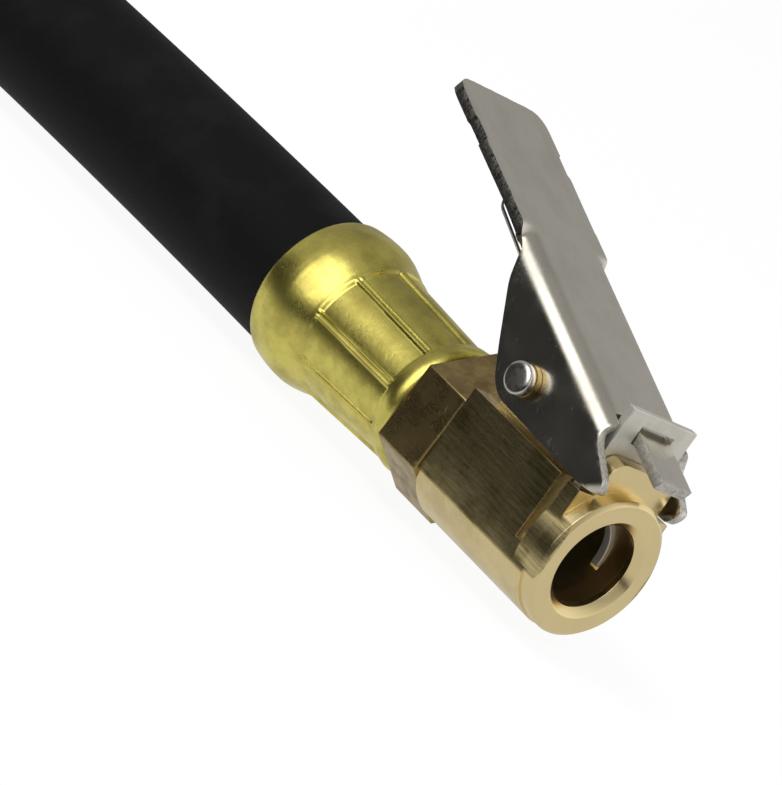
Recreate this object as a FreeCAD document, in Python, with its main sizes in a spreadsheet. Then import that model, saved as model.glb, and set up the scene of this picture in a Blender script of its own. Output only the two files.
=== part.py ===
"""Clip-on brass tyre chuck on a crimped rubber air hose: every piece in its own STEP file.

The frame: the origin is the centre of the chuck's mouth, +X points out of the mouth, +Z points
up to the clip lever. Lengths are millimetres and angles are degrees.
"""
import FreeCAD, Part
import math
import os
import re

import Sketcher

doc = FreeCAD.newDocument("AirHoseChuck")

# Driving dimensions: alias, value, what it measures
SIZES = [
    # chuck body
    ("ring_radius", 6.8, "turned ring round the mouth"),
    ("ring_length", 1.65, "how far the ring stands out of the front"),
    ("ring_edge", 0.35, "chamfer on the ring's outer edge"),
    ("bore_radius", 4.15, "bore that takes the tyre valve"),
    ("bore_depth", 7.5, "from the mouth to the seal"),
    ("seat_radius", 4.4, "wider bore from the jaw slot back to the seal"),
    ("mouth_chamfer", 0.7, "chamfer at the mouth of the bore"),
    ("body_length", 17.2, "mouth to the rear face"),
    ("barrel_radius", 6.95, "round underside"),
    ("flat_half", 6.3, "half of the width over the side flats"),
    ("shoulder_height", 5.4, "top of the side flats"),
    ("lug_half", 4.3, "half of the width of the lug on top"),
    ("lug_height", 9.0, "top of the lug over the mouth"),
    ("lug_corner", 1.6, "rounding of the lug's front corners"),
    ("slot_front", 3.25, "mouth to the front wall of the jaw slot"),
    ("slot_width", 1.1, "jaw slot, along the bore"),
    ("slot_floor", 1.2, "depth of the jaw slot below the bore's axis"),
    ("chamber_radius", 4.9, "rear chamber for the seal and the hose stem"),
    # clip lever and its pivot
    ("pivot_back", 13.1, "mouth to the lever's pivot"),
    ("pivot_height", 8.9, "bore's axis to the lever's pivot"),
    ("pivot_boss", 2.6, "rounding of the lug about the pivot"),
    ("pin_radius", 1.1, "rivet shaft"),
    ("pin_head_radius", 1.5, "rivet head"),
    ("pin_head_length", 0.95, "rivet head"),
    ("pin_tail_length", 0.5, "hammered end of the rivet"),
    ("washer_radius", 1.6, "brass washers under the rivet's ends"),
    ("washer_thickness", 0.6, "brass washers"),
    ("lever_tilt", 19.3, "slope of the lever at rest"),
    ("lever_half", 6.15, "half of the lever's outer width"),
    ("sheet", 1.0, "steel sheet of the lever"),
    ("sheet_bend", 2.0, "outer radius of the lever's long bends"),
    ("plate_rise", 5.75, "pivot to the top face of the lever"),
    ("handle_reach", 30.2, "pivot to the thumb end, along the lever"),
    ("handle_corner", 2.6, "rounding of the thumb end's corners"),
    ("cheek_back", -11.2, "pivot to where the cheeks leave the flat grip"),
    ("nose_reach", 8.3, "pivot to the lever's nose, along the lever"),
    ("tongue_reach", 13.6, "pivot to the tongue's tip, along the lever"),
    ("tongue_half", 2.15, "half of the tongue's width"),
    # jaw plate
    ("jaw_half", 4.5, "half of the jaw plate's width"),
    ("jaw_top", 13.3, "top edge at rest"),
    ("jaw_foot", 0.9, "how far the legs reach below the bore's axis"),
    ("jaw_gape", 3.9, "radius of the jaw's arch"),
    ("jaw_bite", 3.5, "bore's axis to the top of the arch at rest"),
    # lever spring
    ("spring_wire", 0.9, "spring wire"),
    ("spring_turns", 4.0, "whole coils round the rivet"),
    ("spring_arm", 18.5, "arm under the handle"),
    ("spring_curl", 0.75, "radius of the arm's curled end"),
    ("spring_return", 6.0, "end of the arm, turned back along the handle"),
    ("pocket_half", 2.6, "half of the width of the spring's pocket"),
    ("pocket_front", 10.2, "mouth to the front of the spring's pocket"),
    ("pocket_floor", 5.9, "bore's axis to the floor of the spring's pocket"),
    # seal and valve opener
    ("seal_thickness", 2.5, "rubber seal"),
    ("seal_hole", 1.9, "hole in the rubber seal"),
    ("opener_thickness", 1.6, "disc of the valve opener"),
    ("opener_pin", 1.0, "radius of the opener's pin"),
    ("opener_reach", 2.3, "opener's pin in front of the seal"),
    ("air_hole", 0.7, "radius of the opener's air holes"),
    ("air_circle", 2.9, "radius of the circle of air holes"),
    # hose, its crimped ends and fittings
    ("hose_radius", 7.1, "outside of the free hose"),
    ("hose_bore", 3.2, "inside of the free hose"),
    ("liner_wall", 1.8, "inner rubber tube"),
    ("braid_wall", 0.7, "textile braid"),
    ("crimp_squeeze", 1.0, "how much the crimp presses the hose in"),
    ("ferrule_wall", 0.75, "ferrule's sheet"),
    ("ferrule_length", 21.0, "hex to the ferrule's open end"),
    ("crimp_length", 12.5, "crimped stretch of the ferrule"),
    ("bell_length", 4.3, "wide stretch at the open end"),
    ("bell_radius", 7.95, "outside of the ferrule's open end"),
    ("end_wall", 1.2, "ferrule's wall against the hex"),
    ("neck_radius", 2.9, "stem's neck inside the ferrule's end wall"),
    ("stem_radius", 3.2, "stem's tail inside the hose"),
    ("stem_bore", 1.9, "air way through the stem"),
    ("hex_flats", 13.0, "across the flats of the chuck's stem"),
    ("hex_length", 5.6, "hex of the chuck's stem"),
    ("tool_hex_flats", 15.0, "across the flats of the far stem"),
    ("tool_hex_length", 6.0, "hex of the far stem"),
    ("tool_thread_radius", 6.58, "quarter-inch parallel pipe thread of the far stem"),
    ("tool_thread_length", 11.0, "thread of the far stem"),
    ("thread_lead", 0.8, "chamfer and undercut of the far stem's thread"),
    ("thread_relief", 0.2, "undercut past the sealing washer"),
    ("tool_thread_bore", 3.0, "air way through the thread of the far stem"),
    ("gasket_radius", 7.9, "outside of the sealing washer"),
    ("gasket_thickness", 1.5, "sealing washer"),
    # clearances
    ("slide_gap", 0.12, "jaw plate in its slot, each side"),
    ("spin_gap", 0.05, "lever and washers on the rivet"),
    ("thread_gap", 0.05, "screwed and slipped pieces, each side"),
    ("coil_gap", 0.3, "spring coils round the rivet"),
]

# The free hose's route: ends square to the ferrules, with one wide turn between them
HOSE_ROUTE = [
    (-44.8, 0.0, 0.0),
    (-74.0, 0.0, 0.0),
    (-124.0, -4.0, -0.8),
    (-174.0, -33.0, -0.8),
    (-194.0, -87.5, -0.8),
    (-174.0, -142.0, -0.8),
    (-124.0, -171.0, 0.0),
    (-74.0, -171.0, 0.0),
]
TURN_SHARE = 0.45  # how much of the shorter run each turn takes up

# The foot of the lever's cheeks, from the grip to the nose, about the pivot with the lever level
CHEEK_FOOT = [
    (-9.5, 2.3),
    (-4.8, -1.1),
    (-2.2, -2.8),
    (-0.6, -3.1),
    (11.2, 0.6),
    (12.8, 1.3),
    (12.6, 3.1),
]

sheet = doc.addObject("Spreadsheet::Sheet", "Sizes")
for row, (alias, size, meaning) in enumerate(SIZES, start=1):
    sheet.set(f"A{row}", meaning)
    sheet.set(f"B{row}", str(size))
    sheet.setAlias(f"B{row}", alias)
doc.recompute()

ALIASES = {alias for alias, _, _ in SIZES}
WORD = re.compile(r"[a-z_]+")


def bound(expression):
    """The expression with each alias read from the sheet."""
    return WORD.sub(lambda word: f"Sizes.{word[0]}" if word[0] in ALIASES else word[0], expression)


def value(expression):
    """The number that an expression of sheet aliases gives."""
    return float(sheet.evalExpression(expression))


# ---------------------------------------------------------------- sketches and features


def new_body(label):
    """An empty PartDesign body with its name."""
    body = doc.addObject("PartDesign::Body", label)
    body.Label = label
    return body


def place(thing, x="0", y="0", z="0", turn="0", about=(0, 0, 1)):
    """Puts a piece where the expressions say, turned about an axis."""
    thing.Placement = FreeCAD.Placement(FreeCAD.Vector(), FreeCAD.Rotation(FreeCAD.Vector(*about), 1.0))
    thing.setExpression("Placement.Base.x", bound(x))
    thing.setExpression("Placement.Base.y", bound(y))
    thing.setExpression("Placement.Base.z", bound(z))
    thing.setExpression("Placement.Rotation.Angle", bound(turn))


def new_sketch(body, plane, shift="0"):
    """A sketch on one of the body's origin planes, shifted along the plane's normal."""
    sketch = body.newObject("Sketcher::SketchObject", body.Label + "_sketch")
    flat = next(item for item in body.Origin.OriginFeatures if item.Role == plane)
    sketch.AttachmentSupport = (flat, "")
    sketch.MapMode = "FlatFace"
    sketch.setExpression("AttachmentOffset.Base.z", bound(shift))
    return sketch


def pin_down(sketch, geometry, point, across, up):
    """Ties a point of the sketch to the sizes that place it."""
    for kind, axis, expression in (("DistanceX", -2, across), ("DistanceY", -1, up)):
        if expression == "0":
            sketch.addConstraint(Sketcher.Constraint("PointOnObject", geometry, point, axis))
            continue
        rule = Sketcher.Constraint(kind, -1, 1, geometry, point, value(expression))
        number = sketch.addConstraint(rule)
        sketch.setExpression(f"Constraints[{number}]", bound(expression))


def polygon(sketch, corners):
    """A closed outline of straight lines through the corners, each a pair of expressions."""
    points = [FreeCAD.Vector(value(across), value(up), 0) for across, up in corners]
    lines = [
        sketch.addGeometry(Part.LineSegment(start, end))
        for start, end in zip(points, points[1:] + points[:1])
    ]
    for line, following in zip(lines, lines[1:] + lines[:1]):
        sketch.addConstraint(Sketcher.Constraint("Coincident", line, 2, following, 1))
    for line, (across, up) in zip(lines, corners):
        pin_down(sketch, line, 1, across, up)


def rectangle(sketch, left, right, low, high):
    """A closed rectangle between four expressions."""
    polygon(sketch, [(left, low), (right, low), (right, high), (left, high)])


def circle(sketch, radius, across="0", up="0"):
    """A circle whose radius and centre are expressions."""
    centre = FreeCAD.Vector(value(across), value(up), 0)
    ring = sketch.addGeometry(Part.Circle(centre, FreeCAD.Vector(0, 0, 1), value(radius)))
    pin_down(sketch, ring, 3, across, up)
    number = sketch.addConstraint(Sketcher.Constraint("Radius", ring, value(radius)))
    sketch.setExpression(f"Constraints[{number}]", bound(radius))
    return ring


def solid_change(body, kind, name, sketch, length, both_ways, grows):
    """A pad or pocket of the sketch, checked to add or take away material."""
    doc.recompute()
    before = body.Shape.Volume if not body.Shape.isNull() else 0.0
    feature = body.newObject(kind, name)
    feature.Profile = sketch
    feature.SideType = "Symmetric" if both_ways else "One side"
    feature.setExpression("Length", bound(length))
    if not grows:
        feature.Reversed = True
    sketch.Visibility = False
    doc.recompute()
    change = body.Shape.Volume - before
    if change * (1 if kind == "PartDesign::Pad" else -1) <= 0:
        raise RuntimeError(f"{body.Label}: {name} changes nothing")
    return feature


def pad(body, name, sketch, length, both_ways=False):
    """Adds the sketch's outline, along the plane's normal or both ways."""
    return solid_change(body, "PartDesign::Pad", name, sketch, length, both_ways, grows=True)


def pocket(body, name, sketch, length, both_ways=False):
    """Cuts the sketch's outline away, along the plane's normal or both ways."""
    return solid_change(body, "PartDesign::Pocket", name, sketch, length, both_ways, grows=both_ways)


def turned(label, corners):
    """A piece turned about its own X axis from a closed outline of (along, radius) corners."""
    body = new_body(label)
    sketch = new_sketch(body, "XZ_Plane")
    polygon(sketch, corners)
    lathe = body.newObject("PartDesign::Revolution", label + "_turning")
    lathe.Profile = sketch
    lathe.ReferenceAxis = (sketch, ["H_Axis"])
    lathe.Angle = 360
    sketch.Visibility = False
    doc.recompute()
    return body


def edges_where(body, test):
    """Names of the body's edges that pass the test."""
    doc.recompute()
    return [f"Edge{n}" for n, edge in enumerate(body.Shape.Edges, start=1) if test(edge)]


def runs_along(edge, axis):
    """Whether an edge is straight and lies along the axis."""
    if edge.Curve.TypeId != "Part::GeomLine":
        return False
    return abs(edge.Curve.Direction.dot(FreeCAD.Vector(*axis))) > 0.999


def dress(body, kind, names, size_name, size):
    """A fillet or chamfer on the named edges of the body."""
    if not names:
        raise RuntimeError(f"{body.Label}: no edge to dress")
    feature = body.newObject(kind, body.Label + "_edge")
    feature.Base = (body.Tip if body.Tip != feature else feature.BaseFeature, names)
    feature.setExpression(size_name, bound(size))
    doc.recompute()
    return feature


# ---------------------------------------------------------------- chuck body


def make_chuck_body():
    """The brass body: barrel with side flats, lug on top, mouth ring, bore, slots and pin hole."""
    body = new_body("chuck_body")
    front = "-ring_length"
    length = "body_length - ring_length"

    barrel = new_sketch(body, "YZ_Plane", "-body_length")
    circle(barrel, "barrel_radius")
    pad(body, "barrel", barrel, length)

    cheeks = new_sketch(body, "YZ_Plane", "-body_length")
    rectangle(cheeks, "-flat_half", "flat_half", "-slot_floor", "shoulder_height")
    pad(body, "shoulders", cheeks, length)

    lug = new_sketch(body, "XZ_Plane")
    behind_slot = "-slot_front - slot_width"
    boss_back = "-pivot_back - pivot_boss"
    polygon(
        lug,
        [
            (front, "slot_floor"),
            (front, "lug_height"),
            (behind_slot, "lug_height"),
            ("-pivot_back + pivot_boss", "pivot_height + pivot_boss"),
            (boss_back, "pivot_height + pivot_boss"),
            (boss_back, "slot_floor"),
        ],
    )
    pad(body, "lug", lug, "2 * lug_half", both_ways=True)

    for side in ("", "-"):
        flank = new_sketch(body, "YZ_Plane", "-body_length")
        inner = f"{side}flat_half"
        outer = f"{side}2 * flat_half"
        edges = (inner, outer) if side == "" else (outer, inner)
        rectangle(flank, *edges, "-2 * barrel_radius", "2 * barrel_radius")
        cut = pocket(body, "flank", flank, "2 * body_length", both_ways=True)
        cut.Label = "flank_right" if side == "" else "flank_left"

    ring = new_sketch(body, "YZ_Plane", "-2 * ring_length")
    circle(ring, "ring_radius")
    pad(body, "mouth_ring", ring, "2 * ring_length")

    chamber = new_sketch(body, "YZ_Plane", "-body_length")
    circle(chamber, "chamber_radius")
    pocket(body, "rear_chamber", chamber, "2 * (body_length - bore_depth)", both_ways=True)

    bore = new_sketch(body, "YZ_Plane")
    circle(bore, "bore_radius")
    pocket(body, "valve_bore", bore, "2 * body_length", both_ways=True)

    seat = new_sketch(body, "YZ_Plane", "-body_length")
    circle(seat, "seat_radius")
    pocket(body, "seat_bore", seat, "2 * (body_length - slot_front)", both_ways=True)

    slot = new_sketch(body, "XZ_Plane")
    rectangle(slot, behind_slot, "-slot_front", "-slot_floor", "2 * lug_height")
    pocket(body, "jaw_slot", slot, "4 * flat_half", both_ways=True)

    trough = new_sketch(body, "XZ_Plane")
    rectangle(trough, "-2 * body_length", "-pocket_front", "pocket_floor", "3 * lug_height")
    pocket(body, "spring_pocket", trough, "2 * pocket_half", both_ways=True)

    hole = new_sketch(body, "XZ_Plane")
    circle(hole, "pin_radius + spin_gap / 2", "-pivot_back", "pivot_height")
    pocket(body, "pin_hole", hole, "4 * lug_half", both_ways=True)

    boss_top = value("pivot_height + pivot_boss")
    boss_rear = -value("pivot_back + pivot_boss")
    rear_corner = edges_where(
        body,
        lambda edge: runs_along(edge, (0, 1, 0))
        and abs(edge.CenterOfMass.z - boss_top) < 0.01
        and abs(edge.CenterOfMass.x - boss_rear) < 0.01,
    )
    dress(body, "PartDesign::Fillet", rear_corner, "Radius", "0.9 * pivot_boss")
    arch = edges_where(
        body,
        lambda edge: runs_along(edge, (1, 0, 0))
        and abs(edge.CenterOfMass.z - value("lug_height")) < 0.01
        and edge.CenterOfMass.x > -value("slot_front"),
    )
    dress(body, "PartDesign::Fillet", arch, "Radius", "lug_corner")
    for radius, size in (("ring_radius", "ring_edge"), ("bore_radius", "mouth_chamfer")):
        circles = edges_where(
            body,
            lambda edge: edge.Curve.TypeId == "Part::GeomCircle"
            and abs(edge.CenterOfMass.x) < 0.01
            and abs(edge.Curve.Radius - value(radius)) < 0.01,
        )
        dress(body, "PartDesign::Chamfer", circles, "Size", size)
    return body


# ---------------------------------------------------------------- seal and valve opener


def make_valve_seal():
    """The rubber ring that seals on the tyre valve's rim."""
    face = "-bore_depth"
    back = "-bore_depth - seal_thickness"
    edge = "chamber_radius - thread_gap"
    return turned("valve_seal", [(face, "seal_hole"), (face, edge), (back, edge), (back, "seal_hole")])


def make_valve_opener():
    """The brass disc with air holes, whose pin opens the tyre valve's core."""
    disc_front = "-bore_depth - seal_thickness"
    disc_back = "-bore_depth - seal_thickness - opener_thickness"
    edge = "chamber_radius - thread_gap"
    body = turned(
        "valve_opener",
        [
            (disc_back, "0"),
            ("-bore_depth + opener_reach", "0"),
            ("-bore_depth + opener_reach", "0.6 * opener_pin"),
            ("-bore_depth + opener_reach - 0.4 * opener_pin", "opener_pin"),
            (disc_front, "opener_pin"),
            (disc_front, edge),
            (disc_back, edge),
        ],
    )
    sketch = new_sketch(body, "YZ_Plane", disc_back)
    circle(sketch, "air_hole", "air_circle", "0")
    hole = pocket(body, "air_way", sketch, "4 * opener_thickness", both_ways=True)
    ring = body.newObject("PartDesign::PolarPattern", "air_ways")
    ring.Originals = [hole]
    ring.Axis = (next(item for item in body.Origin.OriginFeatures if item.Role == "X_Axis"), [""])
    ring.Angle = 360
    ring.Occurrences = 4
    body.Tip = ring
    return body


# ---------------------------------------------------------------- clip lever, jaw, pivot and spring


def round_bends(body, height, radius):
    """Rounds the two edges that run along a level lever at this height."""
    level = value(height)
    bends = edges_where(
        body, lambda edge: runs_along(edge, (1, 0, 0)) and abs(edge.CenterOfMass.z - level) < 0.01
    )
    dress(body, "PartDesign::Fillet", bends, "Radius", radius)


def make_clip_lever():
    """The folded steel lever, drawn level about its pivot and tilted as a whole."""
    body = new_body("clip_lever")
    under = "plate_rise - sheet"
    side = new_sketch(body, "XZ_Plane")
    polygon(
        side,
        [
            ("cheek_back", "plate_rise"),
            ("cheek_back", under),
            *((str(along), str(up)) for along, up in CHEEK_FOOT),
            ("nose_reach", "plate_rise - 2.2 * sheet"),
            ("nose_reach", "plate_rise"),
        ],
    )
    pad(body, "folded_block", side, "2 * lever_half", both_ways=True)
    round_bends(body, "plate_rise", "sheet_bend")

    inside = new_sketch(body, "YZ_Plane")
    rectangle(inside, "-lever_half + sheet", "lever_half - sheet", "-2 * plate_rise", under)
    pocket(body, "inside_of_fold", inside, "4 * handle_reach", both_ways=True)
    round_bends(body, under, "sheet_bend - sheet")

    flat = new_sketch(body, "XY_Plane", under)
    rectangle(flat, "-handle_reach", "cheek_back", "-lever_half", "lever_half")
    pad(body, "grip", flat, "sheet")
    thumb = -value("handle_reach")
    corners = edges_where(
        body,
        lambda edge: runs_along(edge, (0, 0, 1)) and abs(edge.CenterOfMass.x - thumb) < 0.01,
    )
    dress(body, "PartDesign::Fillet", corners, "Radius", "handle_corner")

    jaw_rear = "pivot_back - slot_front - slot_width - plate_rise * sin(lever_tilt * 1 deg)"
    notch_back = f"(({jaw_rear}) / cos(lever_tilt * 1 deg) - 2 * slide_gap)"
    notch = new_sketch(body, "XY_Plane", under)
    rectangle(notch, notch_back, "2 * nose_reach", "-jaw_half - 3 * slide_gap", "jaw_half + 3 * slide_gap")
    pocket(body, "jaw_notch", notch, "4 * plate_rise", both_ways=True)

    tongue = new_sketch(body, "XY_Plane", under)
    rectangle(tongue, f"{notch_back} - sheet", "tongue_reach", "-tongue_half", "tongue_half")
    pad(body, "tongue", tongue, "sheet")

    hole = new_sketch(body, "XZ_Plane")
    circle(hole, "pin_radius + spin_gap")
    pocket(body, "pivot_holes", hole, "4 * lever_half", both_ways=True)
    place(body, "-pivot_back", "0", "pivot_height", "lever_tilt", about=(0, 1, 0))
    return body


def make_jaw_plate():
    """The steel plate whose arch bites on the valve's thread, with a window for the lever's tongue."""
    body = new_body("jaw_plate")
    back = "-slot_front - slot_width + slide_gap"
    thickness = "slot_width - 2 * slide_gap"
    blank = new_sketch(body, "YZ_Plane", back)
    rectangle(blank, "-jaw_half", "jaw_half", "-jaw_foot", "jaw_top")
    pad(body, "blank", blank, thickness)

    legs = new_sketch(body, "YZ_Plane", back)
    rectangle(legs, "-jaw_gape", "jaw_gape", "-2 * jaw_foot", "jaw_bite - jaw_gape")
    pocket(body, "gap_between_legs", legs, "4 * slot_width", both_ways=True)
    arch = new_sketch(body, "YZ_Plane", back)
    circle(arch, "jaw_gape", "0", "jaw_bite - jaw_gape")
    pocket(body, "arch", arch, "4 * slot_width", both_ways=True)

    reach = "(pivot_back - slot_front - slot_width / 2)"
    rise = "(plate_rise - sheet / 2) / cos(lever_tilt * 1 deg)"
    middle = f"(pivot_height + {rise} - {reach} * tan(lever_tilt * 1 deg))"
    half_height = "(sheet / 2 + 3 * slide_gap)"
    window = new_sketch(body, "YZ_Plane", back)
    rectangle(
        window,
        "-tongue_half - slide_gap",
        "tongue_half + slide_gap",
        f"{middle} - {half_height}",
        f"{middle} + {half_height}",
    )
    pocket(body, "window", window, "4 * slot_width", both_ways=True)
    return body


def make_pivot_pin():
    """The rivet through the lug, with a turned head and a hammered end."""
    outside = "lever_half + spin_gap + washer_thickness + spin_gap"
    body = turned(
        "pivot_pin",
        [
            (f"-({outside})", "0"),
            (f"-({outside})", "1.2 * pin_head_radius"),
            (f"-({outside}) - pin_tail_length", "0.8 * pin_head_radius"),
            (f"-({outside}) - pin_tail_length", "0"),
        ],
    )
    shaft = new_sketch(body, "YZ_Plane", f"-({outside})")
    circle(shaft, "pin_radius")
    pad(body, "shaft", shaft, f"2 * ({outside})")
    head = new_sketch(body, "YZ_Plane", outside)
    circle(head, "pin_head_radius")
    pad(body, "head", head, "pin_head_length")
    place(body, "-pivot_back", "0", "pivot_height", "-90", about=(0, 0, 1))
    return body


def make_washer(label, centre):
    """A brass washer between the lever and an end of the rivet."""
    blank = doc.addObject("Part::Cylinder", label + "_blank")
    blank.setExpression("Radius", bound("washer_radius"))
    blank.setExpression("Height", bound("washer_thickness"))
    hole = doc.addObject("Part::Cylinder", label + "_hole")
    hole.setExpression("Radius", bound("pin_radius + spin_gap"))
    hole.setExpression("Height", bound("washer_thickness"))
    washer = doc.addObject("Part::Cut", label)
    washer.Base = blank
    washer.Tool = hole
    washer.Label = label
    place(washer, "-pivot_back", f"{centre} + washer_thickness / 2", "pivot_height", "90", about=(1, 0, 0))
    return washer


def make_lever_spring():
    """The torsion spring round the rivet: a foot down on the body, an arm up to the handle."""
    wire = value("spring_wire")
    radius = value("pin_radius + coil_gap + spring_wire / 2")
    reach = value("spring_arm")
    curl = value("spring_curl")
    lift = value("plate_rise - sheet - spin_gap - spring_wire / 2")
    stand = radius + 2 * curl
    rise = math.asin(lift / math.hypot(stand, reach)) - math.atan2(stand, reach)
    slope = math.radians(value("lever_tilt")) + rise
    along = FreeCAD.Vector(-math.cos(slope), math.sin(slope), 0)
    upward = FreeCAD.Vector(math.sin(slope), math.cos(slope), 0)

    turns = value("spring_turns") + (math.pi / 2 - slope) / (2 * math.pi)
    pitch = wire * 1.06
    width = turns * pitch
    coil = Part.makeHelix(pitch, width, radius)
    begin = FreeCAD.Vector(radius, 0, 0)
    section = Part.Wire(Part.makeCircle(wire / 2, begin, FreeCAD.Vector(0, 1, 0)))
    winding = Part.Wire(coil.Edges).makePipeShell([section], True, True)

    foot_length = value("pivot_height - pocket_floor - spin_gap")
    foot = Part.makeCylinder(wire / 2, foot_length, begin, FreeCAD.Vector(0, -1, 0))

    leave = upward * radius + FreeCAD.Vector(0, 0, width)
    tip = leave + along * reach
    curl_centre = tip + upward * curl
    turn_back = curl_centre + upward * curl
    bend = Part.Arc(tip, curl_centre + along * curl, turn_back).toShape()
    back = Part.LineSegment(turn_back, turn_back - along * value("spring_return")).toShape()
    path = Part.Wire([Part.LineSegment(leave, tip).toShape(), bend, back])
    arm = path.makePipeShell([Part.Wire(Part.makeCircle(wire / 2, leave, along))], True, False)

    joints = [Part.makeSphere(wire / 2, begin), Part.makeSphere(wire / 2, leave)]
    spring = doc.addObject("Part::Feature", "lever_spring")
    spring.Shape = winding.fuse([foot, arm, *joints]).removeSplitter()
    spring.Label = "lever_spring"
    lay_on_side = FreeCAD.Rotation(FreeCAD.Vector(1, 0, 0), 90)
    pivot = FreeCAD.Vector(-value("pivot_back"), width / 2, value("pivot_height"))
    spring.Placement = FreeCAD.Placement(pivot, lay_on_side)
    return spring


# ---------------------------------------------------------------- hose ends and fittings

SQUEEZED = "(hose_radius - crimp_squeeze)"
CONE_START = "-end_wall - crimp_length"
CONE_END = "-ferrule_length + bell_length"


def make_ferrule(label, x, y):
    """A brass ferrule crimped round the hose: end wall, crimped tube, cone and bell."""
    neck = "neck_radius + thread_gap"
    inner_bell = "bell_radius - ferrule_wall"
    body = turned(
        label,
        [
            ("0", neck),
            ("0", f"{SQUEEZED} - 0.3"),
            ("-0.6", f"{SQUEEZED} + ferrule_wall"),
            (CONE_START, f"{SQUEEZED} + ferrule_wall"),
            (CONE_END, "bell_radius"),
            ("-ferrule_length", "bell_radius"),
            ("-ferrule_length", inner_bell),
            (CONE_END, inner_bell),
            (CONE_START, SQUEEZED),
            ("-end_wall", SQUEEZED),
            ("-end_wall", neck),
        ],
    )
    place(body, x, y)
    return body


def make_hose_layer(label, x, y, inner, outer):
    """One layer of the hose inside a ferrule: squeezed by the crimp, then at its free size."""
    free_end = "-ferrule_length - 1"
    body = turned(
        label,
        [
            ("-end_wall", f"{inner} - crimp_squeeze * {share(inner)}"),
            ("-end_wall", f"{outer} - crimp_squeeze * {share(outer)}"),
            (CONE_START, f"{outer} - crimp_squeeze * {share(outer)}"),
            (CONE_END, outer),
            (free_end, outer),
            (free_end, inner),
            (CONE_END, inner),
            (CONE_START, f"{inner} - crimp_squeeze * {share(inner)}"),
        ],
    )
    place(body, x, y)
    return body


def share(radius):
    """How much of the crimp's squeeze reaches a radius: none at the bore, all at the outside."""
    return f"(({radius}) - hose_bore) / (hose_radius - hose_bore)"


def make_hose_end(prefix, x, y):
    """The liner, braid and cover of the hose inside one ferrule."""
    liner_edge = "(hose_bore + liner_wall)"
    braid_edge = "(hose_bore + liner_wall + braid_wall)"
    make_hose_layer(prefix + "_hose_liner", x, y, "hose_bore", liner_edge)
    make_hose_layer(prefix + "_hose_braid", x, y, liner_edge, braid_edge)
    make_hose_layer(prefix + "_hose_cover", x, y, braid_edge, "hose_radius")


def stem_tail():
    """The outline of a stem's neck and tail, from the hex back into the hose and out by its bore."""
    tip = "-ferrule_length + 1.5"
    return [
        ("0", "neck_radius"),
        ("-end_wall", "neck_radius"),
        ("-end_wall", "stem_radius"),
        (f"{tip} + 1", "stem_radius"),
        (tip, "stem_radius - 0.5"),
        (tip, "stem_bore"),
    ]


def add_hex(body, flats, start, length):
    """A hexagon on a turned piece, flats square to Z, with its bore kept open."""
    sketch = new_sketch(body, "YZ_Plane", start)
    across = f"({flats} / 2)"
    corner = f"({flats} / sqrt(3))"
    polygon(
        sketch,
        [
            (corner, "0"),
            (f"{corner} / 2", across),
            (f"-{corner} / 2", across),
            (f"-{corner}", "0"),
            (f"-{corner} / 2", f"-{across}"),
            (f"{corner} / 2", f"-{across}"),
        ],
    )
    circle(sketch, f"{across} - 0.8")
    pad(body, body.Label + "_hex", sketch, length)


def make_chuck_stem(x, y):
    """The brass stem that screws into the chuck and carries the hose."""
    screw = "chamber_radius - thread_gap"
    front = "hex_length + body_length - bore_depth - seal_thickness - opener_thickness - thread_gap"
    body = turned(
        "chuck_stem",
        stem_tail()
        + [
            (front, "stem_bore"),
            (front, f"{screw} - 0.5"),
            (f"{front} - 0.5", screw),
            ("hex_length", screw),
            ("hex_length", "hex_flats / 2 - 0.5"),
            ("0", "hex_flats / 2 - 0.5"),
        ],
    )
    add_hex(body, "hex_flats", "0", "hex_length")
    place(body, x, y)
    return body


def make_tool_stem(x, y):
    """The brass stem at the far end, with the thread that screws into the inflator."""
    front = "tool_hex_length + tool_thread_length"
    relief = "tool_hex_length + gasket_thickness + thread_relief"
    edge = "tool_hex_flats / 2 - 0.5"
    body = turned(
        "tool_stem",
        stem_tail()
        + [
            ("tool_hex_length / 2", "stem_bore"),
            ("tool_hex_length", "tool_thread_bore"),
            (front, "tool_thread_bore"),
            (front, "tool_thread_radius - thread_lead"),
            (f"{front} - thread_lead", "tool_thread_radius"),
            (relief, "tool_thread_radius"),
            (relief, "tool_thread_radius - thread_lead"),
            ("tool_hex_length", "tool_thread_radius - thread_lead"),
            ("tool_hex_length", edge),
            ("0", edge),
        ],
    )
    add_hex(body, "tool_hex_flats", "0", "tool_hex_length")
    place(body, x, y)
    return body


def make_gasket(x, y):
    """The sealing washer against the far hex."""
    near = "tool_hex_length"
    far = "tool_hex_length + gasket_thickness"
    hole = "tool_thread_radius + thread_gap"
    body = turned(
        "tool_sealing_washer", [(near, hole), (near, "gasket_radius"), (far, "gasket_radius"), (far, hole)]
    )
    place(body, x, y)
    return body


def rounded_route(points):
    """Straight runs joined by tangent arcs, and the radius of each arc."""
    edges = []
    radii = []
    last = points[0]
    for before, corner, after in zip(points, points[1:], points[2:]):
        back = before - corner
        ahead = after - corner
        half_turn = (math.pi - back.getAngle(ahead)) / 2
        cut = TURN_SHARE * min(back.Length, ahead.Length)
        radius = cut / math.tan(half_turn)
        enter = corner + back.normalize() * cut
        leave = corner + ahead.normalize() * cut
        inward = (back + ahead).normalize()
        middle = corner + inward * (radius / math.cos(half_turn) - radius)
        edges.append(Part.LineSegment(last, enter).toShape())
        edges.append(Part.Arc(enter, middle, leave).toShape())
        radii.append(radius)
        last = leave
    edges.append(Part.LineSegment(last, points[-1]).toShape())
    return Part.Wire(edges), radii


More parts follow.
